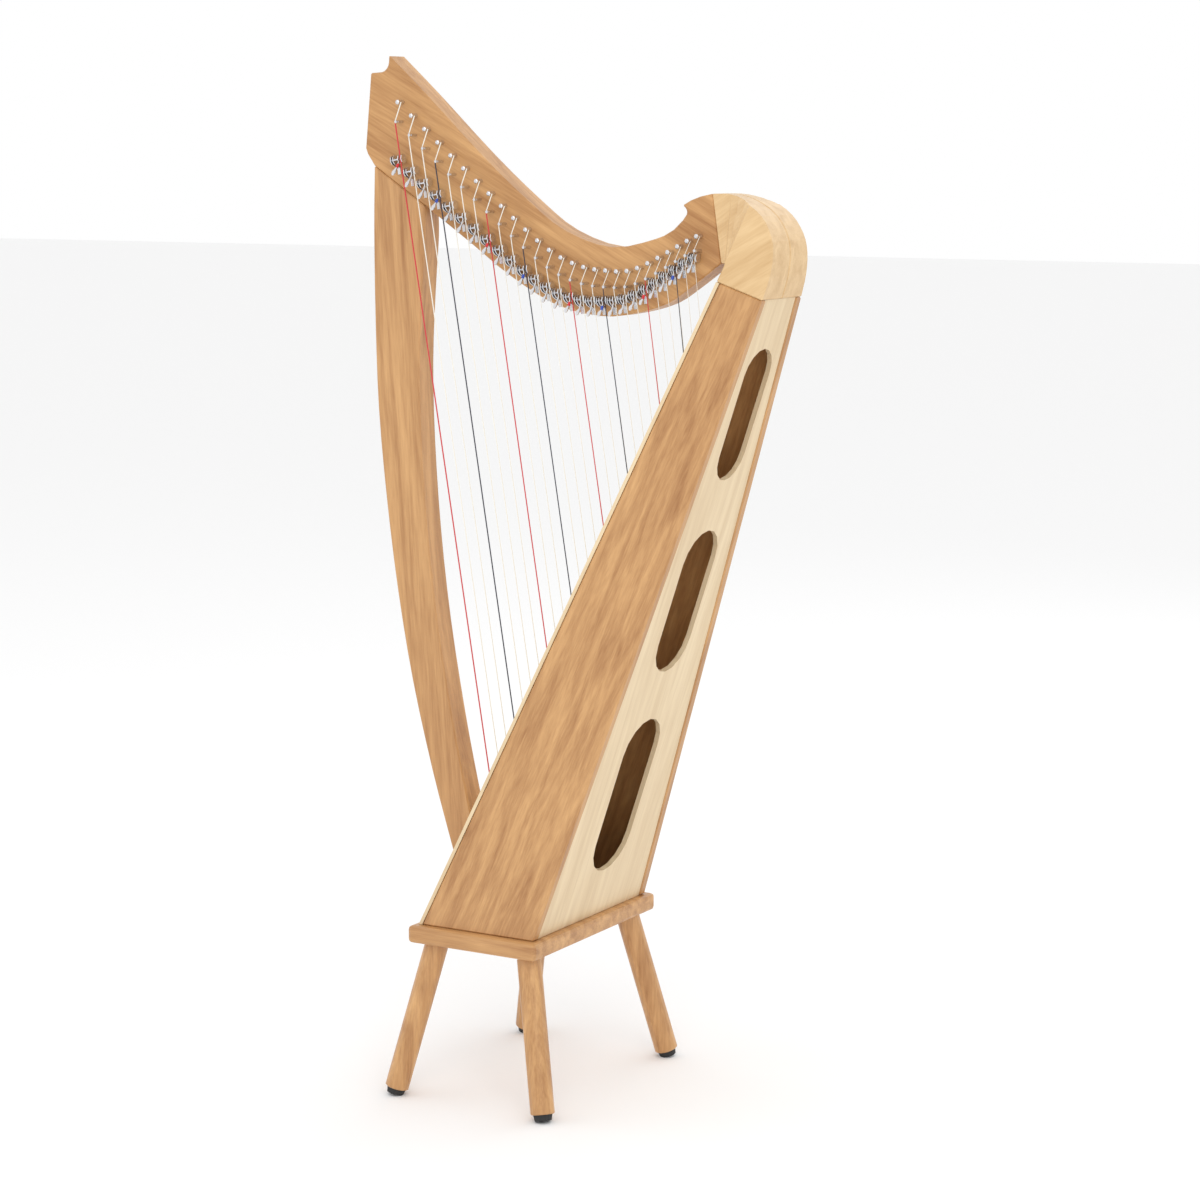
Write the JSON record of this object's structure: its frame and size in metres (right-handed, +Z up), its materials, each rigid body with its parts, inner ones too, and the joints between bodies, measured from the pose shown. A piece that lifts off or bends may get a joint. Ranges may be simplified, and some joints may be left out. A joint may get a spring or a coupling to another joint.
{
  "type": "lever harp",
  "caption": "Floor-standing lever harp: curved neck, bowed pillar and tapered soundbox on a plate with four splayed legs.",
  "frame": {"origin": "middle of the footprint's bounding box, on the floor", "axes": "+X from the pillar to the soundbox, +Y from the lever side to the tuning side, +Z up"},
  "size_m": [0.4806, 0.2766, 1.0492],
  "materials": {
    "ash": "satin lacquer",
    "pale_ash": "satin lacquer",
    "spruce": "satin",
    "raw_wood": "unfinished",
    "rubber": "matt",
    "steel": "polished nickel",
    "dark_steel": "blackened",
    "nylon": "smooth"
  },
  "bodies": {
    "harp_body": {"back_panel": "spruce", "base_plate": "ash", "base_screw_front_left": "dark_steel", "base_screw_front_right": "dark_steel", "base_screw_rear_left": "dark_steel", "base_screw_rear_right": "dark_steel", "bottom_block": "raw_wood", "brace_lower": "raw_wood", "brace_middle": "raw_wood", "brace_upper": "raw_wood", "inner_rib": "raw_wood", "leg_bolt_front_left": "dark_steel", "leg_bolt_front_right": "dark_steel", "leg_bolt_rear_left": "dark_steel", "leg_bolt_rear_right": "dark_steel", "leg_front_left": "ash", "leg_front_right": "ash", "leg_rear_left": "ash", "leg_rear_right": "ash", "neck": "ash", "pillar": "ash", "rubber_foot_front_left": "rubber", "rubber_foot_front_right": "rubber", "rubber_foot_rear_left": "rubber", "rubber_foot_rear_right": "rubber", "shoulder_left": "pale_ash", "shoulder_right": "pale_ash", "soundboard": "spruce", "soundbox_side_left": "ash", "soundbox_side_right": "ash", "string_band": "nylon"},
    "lever_01": {"lever_01": "steel"},
    "lever_02": {"lever_02": "steel"},
    "lever_03": {"lever_03": "steel"},
    "lever_04": {"lever_04": "steel"},
    "lever_05": {"lever_05": "steel"},
    "lever_06": {"lever_06": "steel"},
    "lever_07": {"lever_07": "steel"},
    "lever_08": {"lever_08": "steel"},
    "lever_09": {"lever_09": "steel"},
    "lever_10": {"lever_10": "steel"},
    "lever_11": {"lever_11": "steel"},
    "lever_12": {"lever_12": "steel"},
    "lever_13": {"lever_13": "steel"},
    "lever_14": {"lever_14": "steel"},
    "lever_15": {"lever_15": "steel"},
    "lever_16": {"lever_16": "steel"},
    "lever_17": {"lever_17": "steel"},
    "lever_18": {"lever_18": "steel"},
    "lever_19": {"lever_19": "steel"},
    "lever_20": {"lever_20": "steel"},
    "lever_21": {"lever_21": "steel"},
    "lever_22": {"lever_22": "steel"},
    "lever_23": {"lever_23": "steel"},
    "lever_24": {"lever_24": "steel"},
    "lever_25": {"lever_25": "steel"},
    "lever_26": {"lever_26": "steel"},
    "lever_27": {"lever_27": "steel"}
  },
  "joints": [
    {"name": "lever_01_turn", "type": "hinge", "parent": "harp_body", "child": "lever_01", "pos_m": [-0.19082, -0.02086, 0.94611], "axis": [-0.9901, 0, -0.1405], "range_deg": [0, 85]},
    {"name": "lever_02_turn", "type": "hinge", "parent": "harp_body", "child": "lever_02", "pos_m": [-0.17491, -0.02086, 0.93437], "axis": [-0.9903, 0, -0.1387], "range_deg": [0, 85]},
    {"name": "lever_03_turn", "type": "hinge", "parent": "harp_body", "child": "lever_03", "pos_m": [-0.15923, -0.02085, 0.92279], "axis": [-0.9906, 0, -0.1368], "range_deg": [0, 85]},
    {"name": "lever_04_turn", "type": "hinge", "parent": "harp_body", "child": "lever_04", "pos_m": [-0.14377, -0.02085, 0.91139], "axis": [-0.9909, 0, -0.1349], "range_deg": [0, 85]},
    {"name": "lever_05_turn", "type": "hinge", "parent": "harp_body", "child": "lever_05", "pos_m": [-0.12854, -0.02085, 0.90021], "axis": [-0.9911, 0, -0.1331], "range_deg": [0, 85]},
    {"name": "lever_06_turn", "type": "hinge", "parent": "harp_body", "child": "lever_06", "pos_m": [-0.11355, -0.02084, 0.88926], "axis": [-0.9914, 0, -0.1312], "range_deg": [0, 85]},
    {"name": "lever_07_turn", "type": "hinge", "parent": "harp_body", "child": "lever_07", "pos_m": [-0.09878, -0.02083, 0.8786], "axis": [-0.9916, 0, -0.1293], "range_deg": [0, 85]},
    {"name": "lever_08_turn", "type": "hinge", "parent": "harp_body", "child": "lever_08", "pos_m": [-0.08423, -0.02082, 0.86812], "axis": [-0.9919, 0, -0.1273], "range_deg": [0, 85]},
    {"name": "lever_09_turn", "type": "hinge", "parent": "harp_body", "child": "lever_09", "pos_m": [-0.06992, -0.02081, 0.85778], "axis": [-0.9921, 0, -0.1254], "range_deg": [0, 85]},
    {"name": "lever_10_turn", "type": "hinge", "parent": "harp_body", "child": "lever_10", "pos_m": [-0.05583, -0.02079, 0.84773], "axis": [-0.9923, 0, -0.1235], "range_deg": [0, 85]},
    {"name": "lever_11_turn", "type": "hinge", "parent": "harp_body", "child": "lever_11", "pos_m": [-0.04197, -0.02077, 0.83815], "axis": [-0.9926, 0, -0.1215], "range_deg": [0, 85]},
    {"name": "lever_12_turn", "type": "hinge", "parent": "harp_body", "child": "lever_12", "pos_m": [-0.02834, -0.02074, 0.82939], "axis": [-0.9929, 0, -0.1192], "range_deg": [0, 85]},
    {"name": "lever_13_turn", "type": "hinge", "parent": "harp_body", "child": "lever_13", "pos_m": [-0.01494, -0.02071, 0.82187], "axis": [-0.9932, 0, -0.1166], "range_deg": [0, 85]},
    {"name": "lever_14_turn", "type": "hinge", "parent": "harp_body", "child": "lever_14", "pos_m": [-0.00177, -0.02068, 0.81618], "axis": [-0.9936, 0, -0.1133], "range_deg": [0, 85]},
    {"name": "lever_15_turn", "type": "hinge", "parent": "harp_body", "child": "lever_15", "pos_m": [0.01117, -0.02064, 0.81251], "axis": [-0.994, 0, -0.1091], "range_deg": [0, 85]},
    {"name": "lever_16_turn", "type": "hinge", "parent": "harp_body", "child": "lever_16", "pos_m": [0.02389, -0.0206, 0.8101], "axis": [-0.9946, 0, -0.1041], "range_deg": [0, 85]},
    {"name": "lever_17_turn", "type": "hinge", "parent": "harp_body", "child": "lever_17", "pos_m": [0.03637, -0.02055, 0.8093], "axis": [-0.9952, 0, -0.0982], "range_deg": [0, 85]},
    {"name": "lever_18_turn", "type": "hinge", "parent": "harp_body", "child": "lever_18", "pos_m": [0.04862, -0.0205, 0.80961], "axis": [-0.9958, 0, -0.0913], "range_deg": [0, 85]},
    {"name": "lever_19_turn", "type": "hinge", "parent": "harp_body", "child": "lever_19", "pos_m": [0.06064, -0.02043, 0.81014], "axis": [-0.9965, 0, -0.0838], "range_deg": [0, 85]},
    {"name": "lever_20_turn", "type": "hinge", "parent": "harp_body", "child": "lever_20", "pos_m": [0.07243, -0.02036, 0.81196], "axis": [-0.9972, 0, -0.075], "range_deg": [0, 85]},
    {"name": "lever_21_turn", "type": "hinge", "parent": "harp_body", "child": "lever_21", "pos_m": [0.08398, -0.02028, 0.81609], "axis": [-0.9979, 0, -0.0642], "range_deg": [0, 85]},
    {"name": "lever_22_turn", "type": "hinge", "parent": "harp_body", "child": "lever_22", "pos_m": [0.09531, -0.0202, 0.8217], "axis": [-0.9987, 0, -0.0518], "range_deg": [0, 85]},
    {"name": "lever_23_turn", "type": "hinge", "parent": "harp_body", "child": "lever_23", "pos_m": [0.1064, -0.02011, 0.82799], "axis": [-0.9993, 0, -0.038], "range_deg": [0, 85]},
    {"name": "lever_24_turn", "type": "hinge", "parent": "harp_body", "child": "lever_24", "pos_m": [0.11726, -0.02, 0.8345], "axis": [-0.9997, 0, -0.0226], "range_deg": [0, 85]},
    {"name": "lever_25_turn", "type": "hinge", "parent": "harp_body", "child": "lever_25", "pos_m": [0.12788, -0.01987, 0.84101], "axis": [-1, 0, -0.0052], "range_deg": [0, 85]},
    {"name": "lever_26_turn", "type": "hinge", "parent": "harp_body", "child": "lever_26", "pos_m": [0.13828, -0.0197, 0.84737], "axis": [-0.9999, 0, 0.0146], "range_deg": [0, 85]},
    {"name": "lever_27_turn", "type": "hinge", "parent": "harp_body", "child": "lever_27", "pos_m": [0.14843, -0.01948, 0.85288], "axis": [-0.9993, 0, 0.0382], "range_deg": [0, 85]}
  ]
}
